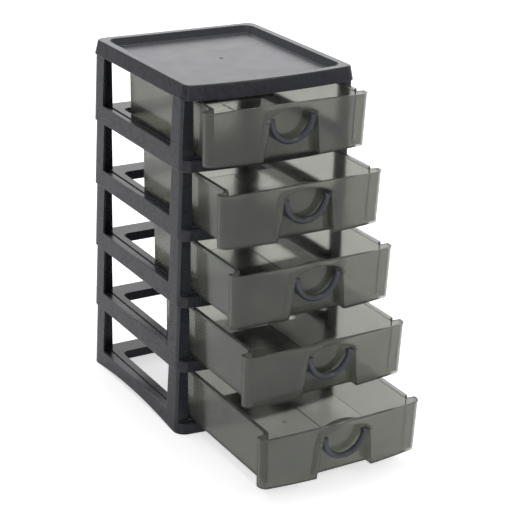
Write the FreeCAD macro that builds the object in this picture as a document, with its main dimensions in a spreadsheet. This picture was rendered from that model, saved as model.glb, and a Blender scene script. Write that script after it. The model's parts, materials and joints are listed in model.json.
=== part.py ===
import FreeCAD, Part
import math
import os
import Sketcher
from FreeCAD import Placement, Rotation, Vector

# Plastic drawer tower: five stacked tier mouldings under a tray cover, with five clear drawers
# that slide towards -Y and a hinged bail handle on each drawer front.
# Frame: +Z up, front towards -Y, left towards -X, origin on the table under the middle of the
# lowest tier's rear wall.

SIZES = [
    # tower plan, measured at the top edge of the cover
    ("tower_width", 190.0),
    ("tower_depth", 200.5),
    ("front_bow", 7.2),
    ("front_corner", 8.2),
    ("rear_corner", 9.0),
    # cover
    ("cover_height", 14.5),
    ("cover_foot_flare", 4.2),
    ("cover_top_flare", 1.0),
    ("cover_edge_round", 1.8),
    ("cover_wall", 1.4),
    ("cover_plate", 2.0),
    ("rim_width", 7.5),
    ("tray_depth", 7.0),
    ("tray_slope", 6.0),
    ("tray_corner", 6.0),
    ("gate_radius", 2.2),
    ("gate_nib", 0.9),
    ("gate_depth", 0.4),
    # tier moulding
    ("tier_pitch", 71.9),
    ("tier_foot_flare", 4.35),
    ("skirt_wall", 1.5),
    ("stack_clearance", 0.2),
    ("spigot_height", 3.0),
    ("ledge_height", 11.8),
    ("ledge_plate", 1.8),
    ("ledge_edge_round", 1.6),
    ("shelf_height", 13.3),
    ("shelf_plate", 1.8),
    ("curb_height", 19.0),
    ("post_wall", 2.2),
    ("post_setback", 1.95),
    ("rear_setback", 2.65),
    ("post_leg", 22.0),
    ("post_leg_lean", 1.2),
    ("doorway_gap_foot", 2.4),
    ("doorway_gap_top", 1.8),
    ("rear_flange_foot", 21.3),
    ("rear_flange_top", 20.0),
    ("seat_width", 6.0),
    ("shelf_side", 7.3),
    ("shelf_rear", 22.3),
    ("shelf_front", 30.3),
    ("opening_corner", 8.0),
    ("lip_wall", 1.6),
    ("lip_height", 10.0),
    ("runner_gap", 0.7),
    ("runner_step", 1.0),
    ("base_arch", 5.5),
    # drawer
    ("drawer_side_gap", 12.7),
    ("drawer_rear_gap", 20.9),
    ("drawer_headroom", 1.9),
    ("drawer_wall", 1.6),
    ("drawer_floor", 1.8),
    ("drawer_draft", 1.3),
    ("drawer_rear_corner", 6.5),
    ("drawer_lift", 0.3),
    ("drawer_stop_gap", 0.3),
    ("wall_lip", 2.2),
    ("wall_lip_height", 2.8),
    ("front_side_gap", 2.5),
    ("front_draft", 1.5),
    ("front_reach", 11.0),
    ("front_roll", 10.0),
    ("rim_flare", 1.8),
    ("rim_flare_height", 4.6),
    ("rim_crown", 1.8),
    ("niche_half", 26.5),
    ("niche_splay", 5.5),
    ("niche_headroom", 11.7),
    ("niche_rise", 7.5),
    ("niche_back", 6.7),
    ("band_half", 27.0),
    ("band_step", 0.6),
    ("band_start", 12.0),
    ("drawer_gate_radius", 2.0),
    ("drawer_gate_height", 0.5),
    ("drawer_gate_place", 96.0),
    # bail handle
    ("pivot_drop", 5.5),
    ("pivot_standoff", 6.5),
    ("bail_side_gap", 3.1),
    ("bail_drop", 22.0),
    ("bail_rod", 2.9),
    ("bail_chamfer", 1.6),
    ("boss_radius", 3.1),
    ("boss_half", 2.9),
    ("pin_radius", 1.6),
    ("pin_length", 6.3),
    ("pin_clearance", 0.2),
    ("pin_tip", 0.6),
    # how far each drawer is pulled out, from the top one down
    ("pull_1", 28.5),
    ("pull_2", 60.4),
    ("pull_3", 86.2),
    ("pull_4", 115.4),
    ("pull_5", 148.9),
    # one overrun for every cut that runs out into the open
    ("overrun", 4.0),
]
TIERS = 5
NEAR = 1e-4


class Size:
    """A length together with the formula that gives it from the sheet."""

    def __init__(self, value, formula):
        self.value = value
        self.formula = formula

    def __add__(self, other):
        return Size(self.value + other.value, "(" + self.formula + " + " + other.formula + ")")

    def __sub__(self, other):
        return Size(self.value - other.value, "(" + self.formula + " - " + other.formula + ")")

    def __mul__(self, other):
        other = as_size(other)
        return Size(self.value * other.value, "(" + self.formula + " * " + other.formula + ")")

    def __truediv__(self, other):
        other = as_size(other)
        return Size(self.value / other.value, "(" + self.formula + " / " + other.formula + ")")

    def __neg__(self):
        return Size(-self.value, "(0 - " + self.formula + ")")


def as_size(number):
    """A plain ratio or a Size, as a Size."""
    if isinstance(number, Size):
        return number
    return Size(float(number), "(" + repr(float(number)) + ")")


ZERO = Size(0.0, "0")
doc = FreeCAD.newDocument("drawer_tower")
sheet = doc.addObject("Spreadsheet::Sheet", "dim")
d = {}
for row, (alias, number) in enumerate(SIZES, start=1):
    sheet.set("A" + str(row), alias)
    sheet.set("B" + str(row), str(number))
    sheet.setAlias("B" + str(row), alias)
    d[alias] = Size(number, "dim." + alias)
doc.recompute()


def bind(item, prop, size):
    """Sets a property and ties it to the sheet."""
    item.setExpression(prop, size.formula)


def name_and_bind(sketch, index, size):
    """Ties one sketch dimension to the sheet."""
    label = "size_" + str(index)
    sketch.renameConstraint(index, label)
    sketch.setExpression("Constraints." + label, size.formula)


def put(sketch, kind, geometry, point, size):
    """Holds a point at a signed distance from the sketch origin, along X or Y."""
    if size.value >= 0:
        index = sketch.addConstraint(Sketcher.Constraint(kind, -1, 1, geometry, point, size.value))
        name_and_bind(sketch, index, size)
    else:
        index = sketch.addConstraint(Sketcher.Constraint(kind, geometry, point, -1, 1, -size.value))
        name_and_bind(sketch, index, -size)


def radius(sketch, geometry, size):
    index = sketch.addConstraint(Sketcher.Constraint("Radius", geometry, size.value))
    name_and_bind(sketch, index, size)


def arc(cx, cy, size, start, end):
    return Part.ArcOfCircle(Part.Circle(Vector(cx, cy, 0), Vector(0, 0, 1), size), start, end)


def new_sketch(body, name, role, level=ZERO):
    """A sketch on one of the body's own origin planes, moved along the plane's normal."""
    planes = [item for item in body.Origin.OriginFeatures if item.Role == role]
    sketch = body.newObject("Sketcher::SketchObject", body.Name + "_" + name)
    sketch.AttachmentSupport = (planes[0], [""])
    sketch.MapMode = "FlatFace"
    sketch.AttachmentOffset = Placement(Vector(0, 0, level.value), Rotation())
    sketch.setExpression("AttachmentOffset.Base.z", level.formula)
    return sketch


def bowed(half, front, bow):
    """Radius and centre of the arc that bows a front of this half width forward."""
    sweep = (half * half + bow * bow) / (bow * 2)
    return sweep, sweep - bow - front


def plan(body, name, level, half, rear, front, rear_round=None, front_round=None):
    """An outline seen from above; a corner pair without a radius stays sharp.

    The front is a straight line at that distance, or the arc that a pair of radius and centre gives.
    """
    sketch = new_sketch(body, name, "XY_Plane", level)
    hw = half.value
    top = rear.value
    rr = rear_round.value if rear_round else 0
    fr = front_round.value if front_round else 0
    turn = math.pi
    if isinstance(front, Size):
        low = -front.value + fr
        lean = -turn / 2
        base = Part.LineSegment(Vector(-hw + fr, low - fr, 0), Vector(hw - fr, low - fr, 0))
    else:
        sweep, middle = front
        reach = math.sqrt((sweep.value - fr) ** 2 - (hw - fr) ** 2)
        low = middle.value - reach
        lean = math.atan2(low - middle.value, hw - fr)
        base = arc(0, middle.value, sweep.value, turn - lean, 2 * turn + lean)
    outline = [("rear", Part.LineSegment(Vector(hw - rr, top, 0), Vector(-hw + rr, top, 0)))]
    if rear_round:
        outline.append(("rear_left", arc(-hw + rr, top - rr, rr, turn / 2, turn)))
    outline.append(("left", Part.LineSegment(Vector(-hw, top - rr, 0), Vector(-hw, low, 0))))
    if front_round:
        outline.append(("front_left", arc(-hw + fr, low, fr, turn, turn - lean)))
    outline.append(("front", base))
    if front_round:
        outline.append(("front_right", arc(hw - fr, low, fr, 2 * turn + lean, 2 * turn)))
    outline.append(("right", Part.LineSegment(Vector(hw, low, 0), Vector(hw, top - rr, 0))))
    if rear_round:
        outline.append(("rear_right", arc(hw - rr, top - rr, rr, 0, turn / 2)))
    sketch.addGeometry([geometry for label, geometry in outline], False)
    labels = [label for label, geometry in outline]
    for first, label in enumerate(labels):
        second = (first + 1) % len(labels)
        kind = "Tangent" if "_" in label + labels[second] else "Coincident"
        sketch.addConstraint(Sketcher.Constraint(kind, first, 2, second, 1))
    front_line = labels.index("front")
    sketch.addConstraint(Sketcher.Constraint("Horizontal", 0))
    sketch.addConstraint(Sketcher.Constraint("Vertical", labels.index("left")))
    sketch.addConstraint(Sketcher.Constraint("Vertical", labels.index("right")))
    put(sketch, "DistanceY", 0, 1, rear)
    put(sketch, "DistanceX", labels.index("left"), 1, -half)
    put(sketch, "DistanceX", labels.index("right"), 1, half)
    for first, label in enumerate(labels):
        if label.startswith("rear_"):
            radius(sketch, first, rear_round)
        if label.startswith("front_"):
            radius(sketch, first, front_round)
    if isinstance(front, Size):
        sketch.addConstraint(Sketcher.Constraint("Horizontal", front_line))
        put(sketch, "DistanceY", front_line, 1, -front)
    else:
        sketch.addConstraint(Sketcher.Constraint("PointOnObject", front_line, 3, -2))
        put(sketch, "DistanceY", front_line, 3, middle)
        radius(sketch, front_line, sweep)
    return sketch


def add_polygon(sketch, corners):
    """Draws a closed run of straight lines through the corners."""
    first = sketch.GeometryCount
    count = len(corners)
    points = [Vector(x.value, y.value, 0) for x, y in corners]
    lines = [Part.LineSegment(points[i], points[(i + 1) % count]) for i in range(count)]
    sketch.addGeometry(lines, False)
    for i in range(count):
        following = first + (i + 1) % count
        sketch.addConstraint(Sketcher.Constraint("Coincident", first + i, 2, following, 1))
    for i, (x, y) in enumerate(corners):
        put(sketch, "DistanceX", first + i, 1, x)
        put(sketch, "DistanceY", first + i, 1, y)
    return sketch


def loft(body, kind, name, low, high):
    """A straight loft, run from the upper sketch down so that its faces look outwards."""
    feature = body.newObject("PartDesign::" + kind, body.Name + "_" + name)
    feature.Profile = high
    feature.Sections = [low]
    feature.Ruled = True
    return feature


def extrude(body, kind, name, profile, length=None, backwards=False, both_ways=False):
    """A Pad or Pocket; without a length it runs right through."""
    feature = body.newObject("PartDesign::" + kind, body.Name + "_" + name)
    feature.Profile = profile
    if length is None:
        feature.Type = "ThroughAll"
    else:
        bind(feature, "Length", length)
    feature.Reversed = backwards
    if both_ways:
        feature.SideType = "Symmetric"
    return feature


def fillet(body, name, size, wanted):
    """Rounds the edges of the finished shape so far that the test picks out."""
    doc.recompute()
    base = body.Tip
    names = ["Edge" + str(i) for i, edge in enumerate(base.Shape.Edges, start=1) if wanted(edge)]
    feature = body.newObject("PartDesign::Fillet", body.Name + "_" + name)
    feature.Base = (base, names)
    bind(feature, "Radius", size)
    return feature


def pad_to_panel(body, name, profile):
    """A Pad that runs forward to the inner side of the bowed panel."""
    doc.recompute()
    base = body.Tip
    curved = [
        (face.BoundBox.YMin, "Face" + str(i)) for i, face in enumerate(base.Shape.Faces, start=1)
        if face.Surface.TypeId == "Part::GeomCone" and face.BoundBox.XLength > half_width.value
    ]
    feature = body.newObject("PartDesign::Pad", body.Name + "_" + name)
    feature.Profile = profile
    feature.Type = "UpToFace"
    feature.UpToFace = (base, [max(curved)[1]])


def at_height(edge, height):
    """True for an edge that lies wholly at one height."""
    return all(abs(vertex.Z - height.value) < NEAR for vertex in edge.Vertexes)


half_width = d["tower_width"] / 2
half_depth = d["tower_depth"] / 2
tower_sweep, tower_middle = bowed(half_width, half_depth, d["front_bow"])
post_front = half_depth - d["post_setback"]
post_rear = half_depth - d["rear_setback"]
drawer_half = half_width - d["drawer_side_gap"]
drawer_front = post_front + d["drawer_stop_gap"]
drawer_length = drawer_front + half_depth - d["drawer_rear_gap"]
drawer_height = d["tier_pitch"] - d["shelf_height"] - d["drawer_lift"] - d["drawer_headroom"]
runner_half = drawer_half + d["runner_gap"]
niche_spring = drawer_height - d["niche_headroom"]
pivot_height = niche_spring - d["pivot_drop"]
pivot_forward = d["niche_back"] + d["pivot_standoff"]
pin_reach = d["niche_half"] + d["pin_length"]


def tower_plan(body, name, level, offset):
    """The tower's own bowed outline, grown outwards by an offset."""
    return plan(
        body, name, level, half_width + offset, half_depth + offset, (tower_sweep + offset, tower_middle),
        d["rear_corner"] + offset, d["front_corner"] + offset,
    )


# The skirt of each tier takes the posts of the tier below, so the side draft follows from the fit.
tier_taper = (d["skirt_wall"] + d["stack_clearance"]) / d["tier_pitch"]


def tier_flare(level):
    """Outward offset of the tier's side faces at a height above its foot."""
    return d["tier_foot_flare"] - tier_taper * level


post_top = d["tier_pitch"] + d["spigot_height"]
post_top_flare = tier_flare(d["tier_pitch"])
rear_foot = half_depth + tier_flare(ZERO) - d["skirt_wall"] / 2


def make_cover(name):
    body = doc.addObject("PartDesign::Body", name)
    body.Label = name
    top = d["cover_height"]
    slope = (d["cover_foot_flare"] - d["cover_top_flare"]) / top
    plate_under = top - d["cover_plate"]
    floor_level = top - d["tray_depth"]
    floor_under = floor_level - d["cover_plate"]

    def flare(level):
        return d["cover_foot_flare"] - slope * level

    foot = tower_plan(body, "foot", ZERO, flare(ZERO))
    crest = tower_plan(body, "crest", top, flare(top))
    loft(body, "AdditiveLoft", "block", foot, crest)
    fillet(body, "edge_round", d["cover_edge_round"], lambda edge: at_height(edge, top))
    # the posts of the top tier slip into this rebate and bear on its ledge
    rebate = tower_plan(body, "rebate_outline", ZERO, post_top_flare + d["stack_clearance"])
    extrude(body, "Pocket", "rebate", rebate, d["spigot_height"], backwards=True)
    inner_low = tower_plan(body, "inner_low", d["spigot_height"], flare(d["spigot_height"]) - d["cover_wall"])
    inner_high = tower_plan(body, "inner_high", plate_under, flare(plate_under) - d["cover_wall"])
    loft(body, "SubtractiveLoft", "hollow", inner_low, inner_high)
    # tray: an inverted hump that the rim surrounds
    wall = d["cover_wall"]
    hump_low = tray_plan(body, "hump_low", floor_under, d["tray_slope"] - wall)
    hump_high = tray_plan(body, "hump_high", plate_under, -wall)
    loft(body, "AdditiveLoft", "hump", hump_low, hump_high)
    tray_low = tray_plan(body, "tray_low", floor_level, d["tray_slope"])
    tray_high = tray_plan(body, "tray_high", top, ZERO)
    loft(body, "SubtractiveLoft", "tray", tray_low, tray_high)
    gate = new_sketch(body, "gate_ring", "XY_Plane", floor_level)
    gate.addGeometry([Part.Circle(Vector(0, 0, 0), Vector(0, 0, 1), d[key].value)
                      for key in ("gate_radius", "gate_nib")], False)
    for ring, key in enumerate(("gate_radius", "gate_nib")):
        gate.addConstraint(Sketcher.Constraint("Coincident", ring, 3, -1, 1))
        radius(gate, ring, d[key])
    extrude(body, "Pocket", "gate", gate, d["gate_depth"])
    return body


def tray_plan(body, name, level, inset):
    """The outline of the recess, which follows the cover's bowed front."""
    offset = -(d["rim_width"] + inset)
    corner = d["tray_corner"] + d["tray_slope"] - inset
    return plan(
        body, name, level, half_width + offset, half_depth + offset, (tower_sweep + offset, tower_middle),
        corner, corner,
    )


def make_tier(name, lowest):
    """One tier: bowed skirt and ledge, shelf with its opening, and four angle-section posts."""
    body = doc.addObject("PartDesign::Body", name)
    body.Label = name
    over = d["overrun"]
    ledge = d["ledge_height"]
    shelf = d["shelf_height"]
    curb = d["curb_height"]
    wall = d["post_wall"]
    outer = half_width + tier_flare(ZERO)

    # skirt and posts in one drafted block, cut back above the front and rear ledges
    block_foot = tower_plan(body, "block_foot", ZERO, tier_flare(ZERO))
    block_top = tower_plan(body, "block_top", post_top, tier_flare(post_top))
    loft(body, "AdditiveLoft", "block", block_foot, block_top)
    high = post_top + over
    front = half_depth + d["front_bow"] + tier_flare(ZERO) + over
    setback = new_sketch(body, "setback_outline", "YZ_Plane")
    add_polygon(setback, [(-front, ledge), (-post_front, ledge), (-post_front, high), (-front, high)])
    add_polygon(setback, [(post_rear, ledge), (front, ledge), (front, high), (post_rear, high)])
    extrude(body, "Pocket", "setback", setback, both_ways=True)
    fillet(
        body, "ledge_round", d["ledge_edge_round"],
        lambda edge: at_height(edge, ledge) and edge.BoundBox.YMin < -post_front.value - NEAR,
    )

    def room_plan(label, level):
        half = half_width + tier_flare(level) - wall
        return plan(body, label, level, half, post_rear - wall, post_front - wall)

    room_low = room_plan("room_low", shelf)
    room_high = room_plan("room_high", high)
    loft(body, "SubtractiveLoft", "room", room_low, room_high)

    # side windows leave a curb below and the side leg of each post
    window = new_sketch(body, "window_outline", "YZ_Plane")
    front_leg = -(post_front - d["post_leg"])
    rear_leg = post_rear - d["post_leg"]
    lean = d["post_leg_lean"]
    add_polygon(window, [
        (front_leg, curb), (rear_leg + lean, curb), (rear_leg, high), (front_leg - lean, high),
    ])
    extrude(body, "Pocket", "windows", window, both_ways=True)

    def doorway(label, low, up, backwards):
        sketch = new_sketch(body, label + "_outline", "XZ_Plane")
        add_polygon(sketch, [(-low, shelf), (low, shelf), (up, high), (-up, high)])
        extrude(body, "Pocket", label, sketch, backwards=backwards)

    doorway(
        "front_doorway", drawer_half + d["doorway_gap_foot"],
        drawer_half + d["wall_lip"] + d["doorway_gap_top"], True,
    )
    doorway("rear_doorway", outer - d["rear_flange_foot"], outer - d["rear_flange_top"], False)

    # hollow underside, deeper below the shelf than below the ledge and the channels
    ledge_under = ledge - d["ledge_plate"]
    shelf_under = shelf - d["shelf_plate"]
    under_low = tower_plan(body, "under_low", ZERO, tier_flare(ZERO) - d["skirt_wall"])
    under_high = tower_plan(body, "under_high", ledge_under, tier_flare(ledge_under) - d["skirt_wall"])
    loft(body, "SubtractiveLoft", "underside", under_low, under_high)
    deep = plan(
        body, "deep_outline", ledge_under, runner_half - wall, post_front - wall * 2, post_front - wall * 2,
        d["opening_corner"], d["opening_corner"],
    )
    extrude(body, "Pocket", "deep_underside", deep, shelf_under - ledge_under, backwards=True)

    # opening with a lip that hangs down all round
    lip_foot = shelf - d["lip_height"]
    lip = opening_plan(body, "lip_outline", lip_foot, d["lip_wall"])
    extrude(body, "Pad", "lip", lip, shelf_under - lip_foot + d["runner_step"])
    hole = opening_plan(body, "opening_outline", shelf, ZERO)
    extrude(body, "Pocket", "opening", hole, d["lip_height"] + over)

    # blocks under the shelf that stand on the posts of the tier below
    seats = new_sketch(body, "seat_outlines", "XY_Plane", d["spigot_height"])
    seat_front = -(half_depth - d["front_corner"])
    seat_rear = half_depth - d["rear_corner"]
    far_edge = half_width + tier_flare(d["spigot_height"]) - d["skirt_wall"] / 2
    near_edge = far_edge - d["seat_width"]
    for side in (-1, 1):
        for start, end in ((seat_front, front_leg), (rear_leg, seat_rear)):
            add_polygon(seats, [
                (far_edge * side, start), (far_edge * side, end), (near_edge * side, end),
                (near_edge * side, start),
            ])
    extrude(body, "Pad", "seats", seats, ledge_under + d["runner_step"] / 2 - d["spigot_height"])

    # shallow channels between the curbs and the strips that the drawer runs on
    channels = new_sketch(body, "channel_outlines", "XY_Plane", shelf)
    bank = half_width + tier_flare(shelf) - wall
    for side in (-1, 1):
        add_polygon(channels, [
            (bank * side, front_leg), (bank * side, post_rear - wall), (runner_half * side, post_rear - wall),
            (runner_half * side, front_leg),
        ])
    extrude(body, "Pocket", "channels", channels, d["runner_step"])

    # the lowest tier stands on four corner feet
    if lowest:
        arch = new_sketch(body, "arch_outline", "YZ_Plane")
        span = half_depth - d["post_leg"] / 2
        rise = d["base_arch"]
        sweep = bowed(span, ZERO, rise)[0]
        lean_angle = math.asin(span.value / sweep.value)
        up = math.pi / 2
        arch.addGeometry([
            arc(0, rise.value - sweep.value, sweep.value, up - lean_angle, up + lean_angle),
            Part.LineSegment(Vector(-span.value, 0, 0), Vector(span.value, 0, 0)),
        ], False)
        arch.addConstraint(Sketcher.Constraint("Coincident", 0, 2, 1, 1))
        arch.addConstraint(Sketcher.Constraint("Coincident", 0, 1, 1, 2))
        put(arch, "DistanceX", 1, 1, -span)
        put(arch, "DistanceX", 1, 2, span)
        put(arch, "DistanceY", 1, 1, ZERO)
        put(arch, "DistanceY", 1, 2, ZERO)
        radius(arch, 0, sweep)
        extrude(body, "Pocket", "foot_arch", arch, both_ways=True)
    return body


def opening_plan(body, name, level, grow):
    half = drawer_half - d["shelf_side"]
    rear = half_depth - d["shelf_rear"]
    front = post_front - d["shelf_front"]
    corner = d["opening_corner"] + grow
    return plan(body, name, level, half + grow, rear + grow, front + grow, corner, corner)


def niche_profile(body, name, level, grow, drop):
    """The arched finger niche seen from the front, grown outwards by a wall."""
    sketch = new_sketch(body, name, "XZ_Plane", level)
    spring = niche_spring
    half = d["niche_half"] + grow
    rise = d["niche_rise"] + grow
    foot_half = half + d["niche_splay"] + d["niche_splay"] / spring * drop
    sweep = bowed(half, ZERO, rise)[0]
    lean = math.asin(half.value / sweep.value)
    up = math.pi / 2
    low = -drop
    sketch.addGeometry([
        arc(0, spring.value + rise.value - sweep.value, sweep.value, up - lean, up + lean),
        Part.LineSegment(Vector(-half.value, spring.value, 0), Vector(-foot_half.value, low.value, 0)),
        Part.LineSegment(Vector(-foot_half.value, low.value, 0), Vector(foot_half.value, low.value, 0)),
        Part.LineSegment(Vector(foot_half.value, low.value, 0), Vector(half.value, spring.value, 0)),
    ], False)
    for first in range(4):
        sketch.addConstraint(Sketcher.Constraint("Coincident", first, 2, (first + 1) % 4, 1))
    put(sketch, "DistanceX", 1, 1, -half)
    put(sketch, "DistanceY", 1, 1, spring)
    put(sketch, "DistanceX", 3, 2, half)
    put(sketch, "DistanceY", 3, 2, spring)
    put(sketch, "DistanceX", 2, 1, -foot_half)
    put(sketch, "DistanceY", 2, 1, low)
    put(sketch, "DistanceX", 2, 2, foot_half)
    put(sketch, "DistanceY", 2, 2, low)
    radius(sketch, 0, sweep)
    return sketch


def make_drawer(name):
    """One drawer: a tub whose front part is wider, rolls round the posts and carries a niche."""
    body = doc.addObject("PartDesign::Body", name)
    body.Label = name
    over = d["overrun"]
    height = drawer_height
    wall = d["drawer_wall"]
    floor = d["drawer_floor"]
    crest = height + d["rim_crown"] / 2
    flare_start = crest - d["rim_flare_height"]
    draft = d["front_draft"]

    front_half = half_width - d["front_side_gap"]
    sweep, middle = bowed(front_half, d["front_reach"], d["front_bow"])

    def front_plan(label, level, grow, rear):
        offset = grow - draft + draft * level / height
        return plan(
            body, label, level, front_half + offset, rear, (sweep + offset, middle),
            front_round=d["front_roll"] + offset,
        )

    front_low = front_plan("front_low", ZERO, ZERO, ZERO)
    front_high = front_plan("front_high", crest, ZERO, ZERO)
    loft(body, "AdditiveLoft", "front_block", front_low, front_high)
    flare_low = front_plan("flare_low", flare_start, ZERO, ZERO)
    flare_high = front_plan("flare_high", crest, d["rim_flare"], ZERO)
    loft(body, "AdditiveLoft", "flare", flare_low, flare_high)

    # the rim of the front rises towards the middle
    crown = new_sketch(body, "crown_outline", "XZ_Plane")
    span = front_half + over
    rise = d["rim_crown"] * 2
    arch_sweep = bowed(span, ZERO, rise)[0]
    lean = math.asin(span.value / arch_sweep.value)
    up = math.pi / 2
    shoulder = crest - rise
    lid = crest + over
    crown.addGeometry([
        arc(0, crest.value - arch_sweep.value, arch_sweep.value, up - lean, up + lean),
        Part.LineSegment(Vector(-span.value, shoulder.value, 0), Vector(-span.value, lid.value, 0)),
        Part.LineSegment(Vector(-span.value, lid.value, 0), Vector(span.value, lid.value, 0)),
        Part.LineSegment(Vector(span.value, lid.value, 0), Vector(span.value, shoulder.value, 0)),
    ], False)
    for first in range(4):
        crown.addConstraint(Sketcher.Constraint("Coincident", first, 2, (first + 1) % 4, 1))
    for geometry, x, y in ((1, -span, shoulder), (2, -span, lid), (3, span, lid)):
        put(crown, "DistanceX", geometry, 1, x)
        put(crown, "DistanceY", geometry, 1, y)
    put(crown, "DistanceX", 3, 2, span)
    put(crown, "DistanceY", 3, 2, shoulder)
    radius(crown, 0, arch_sweep)
    extrude(body, "Pocket", "crown", crown, both_ways=True)

    def tub_plan(label, level, grow, front):
        offset = grow - d["drawer_draft"] + d["drawer_draft"] * level / height
        return plan(
            body, label, level, drawer_half + offset, drawer_length + offset, front,
            rear_round=d["drawer_rear_corner"] + offset,
        )

    tub_low = tub_plan("tub_low", ZERO, ZERO, wall / 2)
    tub_high = tub_plan("tub_high", height, ZERO, wall / 2)
    loft(body, "AdditiveLoft", "tub", tub_low, tub_high)

    # one wall thickness all round: the wide front room, then the tub
    front_room_low = front_plan("front_room_low", floor, -wall, -wall)
    front_room_high = front_plan("front_room_high", crest + over, -wall, -wall)
    loft(body, "SubtractiveLoft", "front_room", front_room_low, front_room_high)

    # a flat lip runs outwards along the top of the side and rear walls
    lip = tub_plan("wall_lip_outline", height, d["wall_lip"], -wall)
    extrude(body, "Pad", "wall_lip", lip, d["wall_lip_height"], backwards=True)
    tub_room_low = tub_plan("tub_room_low", floor, -wall, d["front_roll"] / 2)
    tub_room_high = tub_plan("tub_room_high", height + over, -wall, d["front_roll"] / 2)
    loft(body, "SubtractiveLoft", "tub_room", tub_room_low, tub_room_high)

    # niche: its box is added inside the front, then its hollow is cut out of the face
    box = niche_profile(body, "niche_box_outline", d["niche_back"] - wall, wall, ZERO)
    pad_to_panel(body, "niche_box", box)
    cut = niche_profile(body, "niche_outline", d["niche_back"], ZERO, over)
    extrude(body, "Pocket", "niche", cut, d["front_reach"] + over * 2, backwards=True)
    holes = new_sketch(body, "pin_hole_outline", "YZ_Plane")
    holes.addGeometry([Part.Circle(
        Vector(-pivot_forward.value, pivot_height.value, 0), Vector(0, 0, 1),
        d["pin_radius"].value + d["pin_clearance"].value,
    )], False)
    put(holes, "DistanceX", 0, 3, -pivot_forward)
    put(holes, "DistanceY", 0, 3, pivot_height)
    radius(holes, 0, d["pin_radius"] + d["pin_clearance"])
    extrude(body, "Pocket", "pin_holes", holes, pin_reach * 2, both_ways=True)

    # shallow raised strips on the floor, either side of the middle band, and the gate mark
    strips = new_sketch(body, "strip_outlines", "XY_Plane", floor)
    bank = drawer_half - d["drawer_draft"] - wall / 2
    back = drawer_length - d["drawer_draft"] - wall / 2
    for side in (-1, 1):
        add_polygon(strips, [
            (d["band_half"] * side, d["band_start"]), (bank * side, d["band_start"]),
            (bank * side, back - d["drawer_rear_corner"]), (d["band_half"] * side, back - d["drawer_rear_corner"]),
        ])
    extrude(body, "Pad", "strips", strips, d["band_step"])
    nib = new_sketch(body, "gate_outline", "XY_Plane", floor)
    nib.addGeometry([Part.Circle(
        Vector(0, d["drawer_gate_place"].value, 0), Vector(0, 0, 1), d["drawer_gate_radius"].value,
    )], False)
    put(nib, "DistanceX", 0, 3, ZERO)
    put(nib, "DistanceY", 0, 3, d["drawer_gate_place"])
    radius(nib, 0, d["drawer_gate_radius"])
    extrude(body, "Pad", "gate", nib, d["drawer_gate_height"])
    return body


def make_handle(name):
    """One bail: a bent rod with an eye and a pin at each end, drawn about its pivot line."""
    body = doc.addObject("PartDesign::Body", name)
    body.Label = name
    reach = d["niche_half"] - d["bail_side_gap"]
    sweep, middle = bowed(reach, ZERO, d["bail_drop"])
    lean = math.asin(middle.value / sweep.value)
    path = new_sketch(body, "path", "XZ_Plane")
    path.addGeometry(arc(0, middle.value, sweep.value, math.pi + lean, 2 * math.pi - lean), False)
    put(path, "DistanceX", 0, 1, -reach)
    put(path, "DistanceY", 0, 1, ZERO)
    put(path, "DistanceX", 0, 2, reach)
    put(path, "DistanceY", 0, 2, ZERO)
    radius(path, 0, sweep)
    section = new_sketch(body, "rod_section", "XY_Plane")
    full = d["bail_rod"]
    flat = full - d["bail_chamfer"]
    add_polygon(section, [
        (across - reach, along) for across, along in (
            (-full, -flat), (-flat, -full), (flat, -full), (full, -flat), (full, flat), (flat, full),
            (-flat, full), (-full, flat),
        )
    ])
    rod = body.newObject("PartDesign::AdditivePipe", body.Name + "_rod")
    rod.Profile = section
    rod.Spine = (path, [])

    # eye and pin are turned about the pivot line
    turned = new_sketch(body, "pin_outline", "XZ_Plane")
    eye_in = reach - d["boss_half"]
    eye_out = reach + d["boss_half"]
    tip = pin_reach
    thin = d["pin_radius"]
    fat = d["boss_radius"]
    add_polygon(turned, [
        (eye_in, ZERO), (tip, ZERO), (tip, thin - d["pin_tip"]), (tip - d["pin_tip"], thin),
        (eye_out, thin), (eye_out, fat), (eye_in, fat),
    ])
    pin = body.newObject("PartDesign::Revolution", body.Name + "_pin")
    pin.Profile = turned
    pin.ReferenceAxis = (turned, ["H_Axis"])
    pin.Angle = 360.0
    pair = body.newObject("PartDesign::Mirrored", body.Name + "_pins")
    pair.Originals = [pin]
    pair.MirrorPlane = ([item for item in body.Origin.OriginFeatures if item.Role == "YZ_Plane"][0], [""])
    body.Tip = pair
    return body


def twin(original, name):
    """A second piece out of the same mould."""
    body = doc.addObject("PartDesign::Body", name)
    body.Label = name
    shape = body.newObject("PartDesign::FeatureBase", name + "_moulding")
    shape.BaseFeature = original
    body.Tip = shape
    return body


def place(body, forward, level):
    """Puts a piece at its distance in front of the tower's middle and its height."""
    bind(body, "Placement.Base.y", -(forward + rear_foot))
    bind(body, "Placement.Base.z", level)


cover = make_cover("top_cover")
place(cover, ZERO, d["tier_pitch"] * TIERS)
parts = [cover]
first_tier = None
first_drawer = None
first_handle = None
for number in range(1, TIERS + 1):
    foot = d["tier_pitch"] * (TIERS - number)
    tier_name = "tier_" + str(number)
    drawer_name = "drawer_" + str(number)
    handle_name = "handle_" + str(number)
    if number == 1:
        tier = first_tier = make_tier(tier_name, False)
        drawer = first_drawer = make_drawer(drawer_name)
        handle = first_handle = make_handle(handle_name)
    else:
        tier = make_tier(tier_name, True) if number == TIERS else twin(first_tier, tier_name)
        drawer = twin(first_drawer, drawer_name)
        handle = twin(first_handle, handle_name)
    stop = drawer_front + d["pull_" + str(number)]
    floor = foot + d["shelf_height"] + d["drawer_lift"]
    place(tier, ZERO, foot)
    place(drawer, stop, floor)
    place(handle, stop + pivot_forward, floor + pivot_height)
    parts += [tier, drawer, handle]
doc.recompute()

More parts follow.
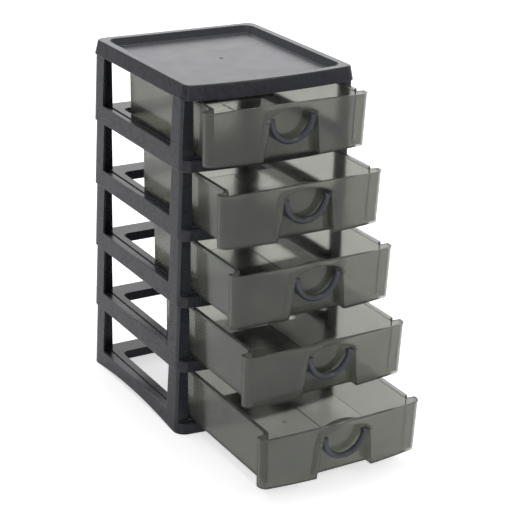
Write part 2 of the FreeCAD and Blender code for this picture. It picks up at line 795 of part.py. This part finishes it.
for item in doc.Objects:
    for state in ("Invalid", "Error"):
        if state in item.State:
            raise RuntimeError(item.Name + " is in state " + state)
for body in parts:
    if body.Shape.isNull() or not body.Shape.isValid() or len(body.Shape.Solids) != 1:
        raise RuntimeError(body.Label + " is not one valid solid")
    for item in body.Group:
        base = getattr(item, "BaseFeature", None)
        if base is None or not hasattr(item, "AddSubShape"):
            continue
        change = item.Shape.Volume - base.Shape.Volume
        if "Subtractive" in item.TypeId or "Pocket" in item.TypeId:
            change = -change
        if "Fillet" in item.TypeId:
            change = abs(change)
        if change <= 0:
            raise RuntimeError(item.Name + " does not change the solid as it should")

os.makedirs("parts", exist_ok=True)
for body in parts:
    body.Shape.exportStep(os.path.join("parts", body.Label + ".step"))
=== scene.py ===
import json
import math

import bpy
from mathutils import Matrix, Vector

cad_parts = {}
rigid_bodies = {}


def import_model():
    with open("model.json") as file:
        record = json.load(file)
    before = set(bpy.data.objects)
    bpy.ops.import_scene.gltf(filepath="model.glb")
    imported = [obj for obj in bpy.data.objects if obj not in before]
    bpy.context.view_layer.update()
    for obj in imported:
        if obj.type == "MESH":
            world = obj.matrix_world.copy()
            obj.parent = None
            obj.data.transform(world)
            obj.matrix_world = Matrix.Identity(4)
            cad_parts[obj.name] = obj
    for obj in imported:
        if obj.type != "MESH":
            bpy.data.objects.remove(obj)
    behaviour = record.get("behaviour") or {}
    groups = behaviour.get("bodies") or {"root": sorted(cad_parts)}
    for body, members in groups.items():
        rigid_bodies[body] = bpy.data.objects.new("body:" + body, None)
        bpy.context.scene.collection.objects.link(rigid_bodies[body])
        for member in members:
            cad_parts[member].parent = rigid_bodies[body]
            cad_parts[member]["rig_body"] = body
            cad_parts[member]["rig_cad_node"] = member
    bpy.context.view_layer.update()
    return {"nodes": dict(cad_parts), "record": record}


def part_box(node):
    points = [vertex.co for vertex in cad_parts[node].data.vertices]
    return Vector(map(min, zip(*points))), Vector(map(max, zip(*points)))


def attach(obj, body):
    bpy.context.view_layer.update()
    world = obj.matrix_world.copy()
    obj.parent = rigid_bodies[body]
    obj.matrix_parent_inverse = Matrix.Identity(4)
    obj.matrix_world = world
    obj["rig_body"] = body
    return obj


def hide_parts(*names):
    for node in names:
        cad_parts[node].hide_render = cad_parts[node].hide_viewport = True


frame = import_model()
MM = 0.001
TIERS = 5


# ---- small helpers

def colour(code):
    """An sRGB hex colour as the linear values that shaders take."""
    shares = [int(code[i:i + 2], 16) / 255 for i in (1, 3, 5)]
    linear = [c / 12.92 if c <= 0.04045 else ((c + 0.055) / 1.055) ** 2.4 for c in shares]
    return (*linear, 1.0)


def add(tree, kind, settings=None, links=None):
    """Adds a node, sets its properties and sockets, and links sockets to other nodes' outputs."""
    node = tree.nodes.new("ShaderNode" + kind)
    for name, value in (settings or {}).items():
        if isinstance(name, str) and hasattr(node, name):
            setattr(node, name, value)
        else:
            node.inputs[name].default_value = value
    for name, source in (links or {}).items():
        tree.links.new(source, node.inputs[name])
    return node


def grey_ramp(tree, source, stops):
    """A ramp of greys through (place, level) stops."""
    node = add(tree, "ValToRGB", links={"Fac": source})
    band = node.color_ramp.elements
    stops = [(place, (level, level, level, 1)) for place, level in stops]
    band[0].position, band[0].color = stops[0]
    band[1].position, band[1].color = stops[-1]
    for place, tone in stops[1:-1]:
        band.new(place).color = tone
    return node.outputs["Color"]


def new_material(name):
    """A material with an empty node tree, and that tree."""
    material = bpy.data.materials.new(name)
    material.use_nodes = True
    material.node_tree.nodes.clear()
    return material, material.node_tree


# ---- materials

# cosines of the turn from the flat normal, 8 and 31 degrees, at which an edge starts and is full
EDGE_STARTS, EDGE_FULL = 0.99, 0.86


def rounded_edges(tree, radius, bump):
    """Rounds edges in the shading, under a bump; gives how far onto an edge a point is."""
    edge = add(tree, "Bevel", {"samples": 6, "Radius": radius})
    tree.links.new(edge.outputs["Normal"], bump.inputs["Normal"])
    flat = add(tree, "NewGeometry")
    level = add(tree, "VectorMath", {"operation": "DOT_PRODUCT"},
                {0: edge.outputs["Normal"], 1: flat.outputs["Normal"]})
    share = add(tree, "MapRange", {"From Min": EDGE_STARTS, "From Max": EDGE_FULL},
                {"Value": level.outputs["Value"]})
    return share.outputs[0]


def moulded_grey_plastic():
    """Recycled polypropylene from a smooth steel mould.

    Nearly black-grey with a soft gloss that mirrors the bright room at a low angle; thin dark
    flow marks loop over it where the melt fronts met, and faint streaks run up the posts.
    """
    material, tree = new_material("moulded_grey_polypropylene")
    place = add(tree, "TexCoord").outputs["Object"]
    # flow marks: contour lines of a warped noise, about 25 mm from loop to loop
    warp = add(tree, "TexNoise", {"Scale": 1 / (32 * MM), "Detail": 2.0, "Roughness": 0.5},
               {"Vector": place})
    bent = add(tree, "VectorMath", {"operation": "MULTIPLY_ADD", 1: (35 * MM, 35 * MM, 35 * MM)},
               {0: warp.outputs["Color"], 2: place})
    melt = add(tree, "TexNoise", {"Scale": 1 / (25 * MM), "Detail": 1.0, "Roughness": 0.4},
               {"Vector": bent.outputs["Vector"]})
    contours = grey_ramp(tree, melt.outputs["Fac"], [
        (0.40, 1), (0.445, 1), (0.465, 0.1), (0.49, 1),
        (0.535, 0.95), (0.56, 0), (0.575, 0.8), (0.66, 1),
    ])
    # they show on the skirts and posts, and not on level faces such as the tray
    facing = add(tree, "SeparateXYZ",
                 links={"Vector": add(tree, "NewGeometry").outputs["True Normal"]})
    level = add(tree, "Math", {"operation": "ABSOLUTE"}, {0: facing.outputs["Z"]})
    clean = add(tree, "MapRange", {"From Min": 0.25, "From Max": 0.6}, {"Value": level.outputs[0]})
    marks = add(tree, "Math", {"operation": "MAXIMUM"}, {0: contours, 1: clean.outputs[0]})
    # streaks: 4 mm wide and some 110 mm long, upright
    stretched = add(tree, "Mapping", {"Scale": (1.0, 1.0, 0.035)}, {"Vector": place})
    streak = add(tree, "TexNoise", {"Scale": 1 / (4 * MM), "Detail": 1.0, "Roughness": 0.5},
                 {"Vector": stretched.outputs["Vector"]})
    tone = add(tree, "Mix", {"data_type": "RGBA", 6: colour("#2c2d34"), 7: colour("#383940")},
               {0: streak.outputs["Fac"]})
    dark = add(tree, "Mix", {"data_type": "RGBA", 6: colour("#1e1e23")},
               {0: marks.outputs[0], 7: tone.outputs[2]})
    # the mould's surface waves a little, which makes the mirrored room uneven
    wave = add(tree, "TexNoise", {"Scale": 1 / (22 * MM), "Detail": 1.0}, {"Vector": place})
    gloss = add(tree, "MapRange", {"To Min": 0.2, "To Max": 0.3}, {"Value": wave.outputs["Fac"]})
    bump = add(tree, "Bump", {"Strength": 0.12, "Distance": 0.3 * MM},
               {"Height": wave.outputs["Fac"]})
    # the flow marks are duller than the skin around them
    dull = add(tree, "Mix", {"data_type": "FLOAT", 2: 0.36},
               {0: marks.outputs[0], 3: gloss.outputs[0]})
    # painted highlight: rounded edges are a shade lighter in the colour, for the light line that
    # they catch
    edge = rounded_edges(tree, 0.8 * MM, bump)
    painted_edge_highlight = add(tree, "Mix", {"data_type": "RGBA", 7: colour("#74787f")},
                 {0: edge, 6: dark.outputs[2]})
    shader = add(tree, "BsdfPrincipled", {"IOR": 1.49, "Specular IOR Level": 0.36}, {
        "Base Color": painted_edge_highlight.outputs[2],
        "Roughness": dull.outputs[0],
        "Normal": bump.outputs["Normal"],
    })
    add(tree, "OutputMaterial", links={"Surface": shader.outputs["BSDF"]})
    return material


def smoked_clear_plastic():
    """Smoke-tinted clear polypropylene, injection moulded.

    Light passes it with a neutral grey tint, what lies behind blurs, and the wavy face of the
    wall gives soft streaks.
    """
    material, tree = new_material("smoked_translucent_polypropylene")
    place = add(tree, "TexCoord").outputs["Object"]
    cloud = add(tree, "TexNoise", {"Scale": 1 / (18 * MM), "Detail": 2.0, "Roughness": 0.5},
                {"Vector": place})
    tone = add(tree, "Mix", {"data_type": "RGBA", 6: colour("#9c9f99"), 7: colour("#acaca3")},
               {0: cloud.outputs["Fac"]})
    gloss = add(tree, "MapRange", {"To Min": 0.12, "To Max": 0.2}, {"Value": cloud.outputs["Fac"]})
    bump = add(tree, "Bump", {"Strength": 0.08, "Distance": 0.3 * MM},
               {"Height": cloud.outputs["Fac"]})
    # painted shade: edges are darker in the colour, for the way the eye looks along the wall at an
    # edge, through far more of the tint
    edge = rounded_edges(tree, 0.9 * MM, bump)
    painted_edge_shade = add(tree, "Mix", {"data_type": "RGBA", 7: colour("#2b3036")},
               {0: edge, 6: tone.outputs[2]})
    shader = add(tree, "BsdfPrincipled", {"IOR": 1.45, "Transmission Weight": 0.9}, {
        "Base Color": painted_edge_shade.outputs[2],
        "Roughness": gloss.outputs[0],
        "Normal": bump.outputs["Normal"],
    })
    add(tree, "OutputMaterial", links={"Surface": shader.outputs["BSDF"]})
    return material


def handle_plastic():
    """Polypropylene from a polished mould.

    Blue-grey and glossier than the tower, with a faint ripple in its gloss.
    """
    material, tree = new_material("glossy_blue_grey_polypropylene")
    place = add(tree, "TexCoord").outputs["Object"]
    cloud = add(tree, "TexNoise", {"Scale": 1 / (7 * MM), "Detail": 2.0, "Roughness": 0.5},
                {"Vector": place})
    tone = add(tree, "Mix", {"data_type": "RGBA", 6: colour("#393c43"), 7: colour("#474b53")},
               {0: cloud.outputs["Fac"]})
    bump = add(tree, "Bump", {"Strength": 0.2, "Distance": 0.15 * MM},
               {"Height": cloud.outputs["Fac"]})
    shader = add(tree, "BsdfPrincipled", {"Roughness": 0.16, "IOR": 1.49},
                 {"Base Color": tone.outputs[2], "Normal": bump.outputs["Normal"]})
    add(tree, "OutputMaterial", links={"Surface": shader.outputs["BSDF"]})
    return material


# ---- pieces

# points of a CAD mesh nearer than this are one point
MERGE = 0.002 * MM
# faces of the tower and drawers that meet at a flatter angle are shaded as one
SMOOTH_BELOW = math.radians(28)


def make_active(piece):
    """Selects one piece alone, for the operators that follow."""
    bpy.ops.object.select_all(action="DESELECT")
    piece.select_set(True)
    bpy.context.view_layer.objects.active = piece


def ride_and_replace(piece, node, material):
    """Gives a piece its material and puts it in a CAD node's place, on that node's body."""
    piece.data.materials.clear()
    piece.data.materials.append(material)
    bodies = frame["record"]["behaviour"]["bodies"]
    body = next(name for name, members in bodies.items() if node in members)
    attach(piece, body)
    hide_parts(node)


def dress(node, material):
    """Puts a cleanly shaded copy of a CAD node's mesh in its place."""
    source = frame["nodes"][node]
    piece = source.copy()
    piece.data = source.data.copy()
    piece.name = piece.data.name = node + "_dressed"
    piece.parent = None
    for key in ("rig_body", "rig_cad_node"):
        if key in piece:
            del piece[key]
    bpy.context.scene.collection.objects.link(piece)
    make_active(piece)
    bpy.ops.mesh.customdata_custom_splitnormals_clear()
    bpy.ops.object.mode_set(mode="EDIT")
    bpy.ops.mesh.select_all(action="SELECT")
    bpy.ops.mesh.remove_doubles(threshold=MERGE)
    bpy.ops.object.mode_set(mode="OBJECT")
    bpy.ops.object.shade_smooth_by_angle(angle=SMOOTH_BELOW)
    # large flat faces keep their own normals beside small curved ones
    weigh = piece.modifiers.new("face_weighted_normals", "WEIGHTED_NORMAL")
    weigh.keep_sharp = True
    weigh.weight = 100
    bpy.ops.object.modifier_apply(modifier=weigh.name)
    ride_and_replace(piece, node, material)


# the bail handle, in mm: a round rod bent to an arc, with an eye and a pointed pin at each end
REACH = 23.4  # from the middle of the bail to the middle of an eye
DROP = 22.0  # from the pivot line to the lowest point of the rod's middle line
ROD = 3.3  # the rod's radius
EYE_RADIUS = 3.1
EYE_HALF = 2.9  # half an eye's length along the pivot line
PIN_RADIUS = 1.6
PIN_END = 32.8  # from the middle of the bail to a pin's tip
PIN_POINT = 1.6  # the length of its tapered point
PIN_TAPER = 0.35  # how thick the tip is, as a share of the pin
SOFT_EDGE = 0.4  # the width of the bevel on its edges
ROD_SIDES, ROD_STEPS, EYE_SIDES = 20, 36, 24


def bail_rod():
    """The bent rod, spun from a circle at the left pivot to the right one."""
    sweep = (REACH ** 2 + DROP ** 2) / (2 * DROP)
    middle = sweep - DROP
    tilt = math.asin(middle / sweep)
    bpy.ops.mesh.primitive_circle_add(
        vertices=ROD_SIDES, radius=ROD * MM, location=(-REACH * MM, 0, 0), rotation=(0, -tilt, 0),
    )
    rod = bpy.context.object
    bpy.ops.object.transform_apply(location=True, rotation=True, scale=True)
    bpy.ops.object.mode_set(mode="EDIT")
    bpy.ops.mesh.select_all(action="SELECT")
    bpy.ops.mesh.spin(
        steps=ROD_STEPS, angle=math.pi - 2 * tilt, center=(0, 0, middle * MM), axis=(0, 1, 0),
    )
    bpy.ops.mesh.select_all(action="SELECT")
    bpy.ops.mesh.fill_holes(sides=0)
    bpy.ops.object.mode_set(mode="OBJECT")
    return rod


def eye_and_pin(side):
    """A short cylinder about the pivot line whose outer end is drawn out into a pointed pin."""
    bpy.ops.mesh.primitive_cylinder_add(
        vertices=EYE_SIDES, radius=EYE_RADIUS * MM, depth=2 * EYE_HALF * MM,
        location=(side * REACH * MM, 0, 0), rotation=(0, math.pi / 2, 0),
    )
    eye = bpy.context.object
    bpy.ops.object.transform_apply(location=True, rotation=True, scale=True)
    bpy.ops.object.mode_set(mode="EDIT")
    bpy.ops.mesh.select_all(action="DESELECT")
    bpy.ops.object.mode_set(mode="OBJECT")
    for face in eye.data.polygons:
        face.select = face.normal.x * side > 0.9
    bpy.ops.object.mode_set(mode="EDIT")
    bpy.ops.mesh.select_mode(type="FACE")
    bpy.ops.mesh.inset(thickness=(EYE_RADIUS - PIN_RADIUS) * MM)
    straight = PIN_END - REACH - EYE_HALF - PIN_POINT
    for length in (straight, PIN_POINT):
        bpy.ops.mesh.extrude_region_move(
            TRANSFORM_OT_translate={"value": (side * length * MM, 0, 0)})
    bpy.ops.transform.resize(value=(1, PIN_TAPER, PIN_TAPER), center_override=(0, 0, 0))
    bpy.ops.object.mode_set(mode="OBJECT")
    return eye


def bail_handle():
    """The whole bail about its own pivot, in one mesh with softened edges."""
    handle = bail_rod()
    eyes = [eye_and_pin(side) for side in (-1, 1)]
    make_active(handle)
    for eye in eyes:
        eye.select_set(True)
    bpy.ops.object.join()
    bpy.ops.object.mode_set(mode="EDIT")
    bpy.ops.mesh.select_all(action="SELECT")
    bpy.ops.mesh.normals_make_consistent(inside=False)
    bpy.ops.object.mode_set(mode="OBJECT")
    soften = handle.modifiers.new("moulded_edges", "BEVEL")
    soften.width = SOFT_EDGE * MM
    soften.segments = 2
    soften.limit_method = "ANGLE"
    soften.angle_limit = math.radians(40)
    bpy.ops.object.modifier_apply(modifier=soften.name)
    bpy.ops.object.shade_smooth_by_angle(angle=math.radians(35))
    return handle


def hang_handle(pattern, node):
    """A copy of the bail, with its own mesh, on its drawer's pivot line."""
    handle = pattern.copy()
    handle.data = pattern.data.copy()
    handle.name = handle.data.name = node + "_bail"
    bpy.context.scene.collection.objects.link(handle)
    low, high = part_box(node)
    # the CAD bail's top is an eye's radius above its pivot line
    handle.data.transform(Matrix.Translation(
        ((low[0] + high[0]) / 2, (low[1] + high[1]) / 2, high[2] - EYE_RADIUS * MM)))
    return handle


grey = moulded_grey_plastic()
smoke = smoked_clear_plastic()
glossy = handle_plastic()
bail = bail_handle()
dress("top_cover", grey)
for k in range(1, TIERS + 1):
    dress("tier_%d" % k, grey)
    dress("drawer_%d" % k, smoke)
    node = "handle_%d" % k
    ride_and_replace(hang_handle(bail, node), node, glossy)
bpy.data.objects.remove(bail)


# ---- studio

# strength of the white room: 1 where it is seen, less in the gloss, least as light on the part
ROOM_MIRRORED, ROOM_LIGHT = 0.54, 0.46
# glow that the floor adds to the light it throws back: where it is seen, and elsewhere
FLOOR_SEEN, FLOOR_GLOW = 0.60, 0.22
# in metres: the floor lies just under the tower
FLOOR_SIZE, FLOOR_TOP = 14.0, -0.0002
# what the lamps face
MIDDLE = Vector((0, -0.15, 0.2))


def seen_share(tree, path):
    """1 on rays from the camera or through the clear plastic, and otherwise 0."""
    seen = add(tree, "Math", {"operation": "MAXIMUM"},
               {0: path.outputs["Is Camera Ray"], 1: path.outputs["Is Transmission Ray"]})
    return seen.outputs[0]


def white_room():
    """An even white room all round."""
    world = bpy.data.worlds.new("studio")
    bpy.context.scene.world = world
    world.use_nodes = True
    tree = world.node_tree
    tree.nodes.clear()
    path = add(tree, "LightPath")
    mirrored = add(tree, "Math",
                   {"operation": "MULTIPLY_ADD", 1: ROOM_MIRRORED - ROOM_LIGHT, 2: ROOM_LIGHT},
                   {0: path.outputs["Is Glossy Ray"]})
    strength = add(tree, "Math", {"operation": "MAXIMUM"},
                   {0: seen_share(tree, path), 1: mirrored.outputs[0]})
    sky = add(tree, "Background", {"Color": (1, 1, 1, 1)}, {"Strength": strength.outputs[0]})
    add(tree, "OutputWorld", links={"Surface": sky.outputs[0]})


def paper_floor():
    """A white paper floor that keeps the tower's shadow."""
    bpy.ops.mesh.primitive_plane_add(size=FLOOR_SIZE, location=(0, 0, FLOOR_TOP))
    floor = bpy.context.object
    floor.name = "studio_floor"
    material, tree = new_material("matt_white_paper")
    path = add(tree, "LightPath")
    strength = add(tree, "Math",
                   {"operation": "MULTIPLY_ADD", 1: FLOOR_SEEN - FLOOR_GLOW, 2: FLOOR_GLOW},
                   {0: seen_share(tree, path)})
    paper = add(tree, "BsdfDiffuse", {"Color": (0.86, 0.86, 0.86, 1)})
    glow = add(tree, "Emission", {"Color": (1, 1, 1, 1)}, {"Strength": strength.outputs[0]})
    both = add(tree, "AddShader", links={0: paper.outputs[0], 1: glow.outputs[0]})
    add(tree, "OutputMaterial", links={"Surface": both.outputs[0]})
    floor.data.materials.append(material)


def lamp(name, place, size, watts, tint="#ffffff"):
    """A rectangular soft box, in metres and watts, that faces the tower's middle."""
    bpy.ops.object.light_add(type="AREA", location=place)
    light = bpy.context.object
    light.name = name
    light.data.shape = "RECTANGLE"
    light.data.size, light.data.size_y = size
    light.data.energy = watts
    light.data.color = colour(tint)[:3]
    light.rotation_mode = "QUATERNION"
    light.rotation_quaternion = (MIDDLE - Vector(place)).to_track_quat("-Z", "Y")


white_room()
paper_floor()
lamp("soft_box_above", place=(0.1, 0.2, 1.9), size=(1.6, 1.2), watts=13)
# opposite the camera, so that level faces mirror it
lamp("soft_box_behind", place=(1.15, 1.7, 1.15), size=(2.2, 1.1), watts=9)
lamp("strip_box_left", place=(-1.5, -1.25, 0.9), size=(0.12, 1.4), watts=1.6, tint="#dfe9ff")
lamp("soft_box_front", place=(0.9, -1.9, 1.5), size=(0.4, 0.4), watts=5)


# ---- camera, where the photograph's perspective puts it

AZIMUTH, ELEVATION, ROLL = (math.radians(x) for x in (-31.605, 21.972, 2.150))
CAMERA_PLACE = (-0.768, -1.43505, 0.7678)
SENSOR, LENS = 36.0, 107.08

back = Vector((
    math.sin(AZIMUTH) * math.cos(ELEVATION),
    -math.cos(AZIMUTH) * math.cos(ELEVATION),
    math.sin(ELEVATION),
))
level_right = Vector((0, 0, 1)).cross(back).normalized()
level_up = back.cross(level_right)
right = level_right * math.cos(ROLL) + level_up * math.sin(ROLL)
up = level_up * math.cos(ROLL) - level_right * math.sin(ROLL)
bpy.ops.object.camera_add()
camera = bpy.context.object
camera.data.sensor_width = SENSOR
camera.data.lens = LENS
turn = Matrix((right, up, back)).transposed().to_4x4()
camera.matrix_world = Matrix.Translation(CAMERA_PLACE) @ turn
bpy.context.scene.camera = camera
bpy.context.scene.view_settings.view_transform = "Standard"
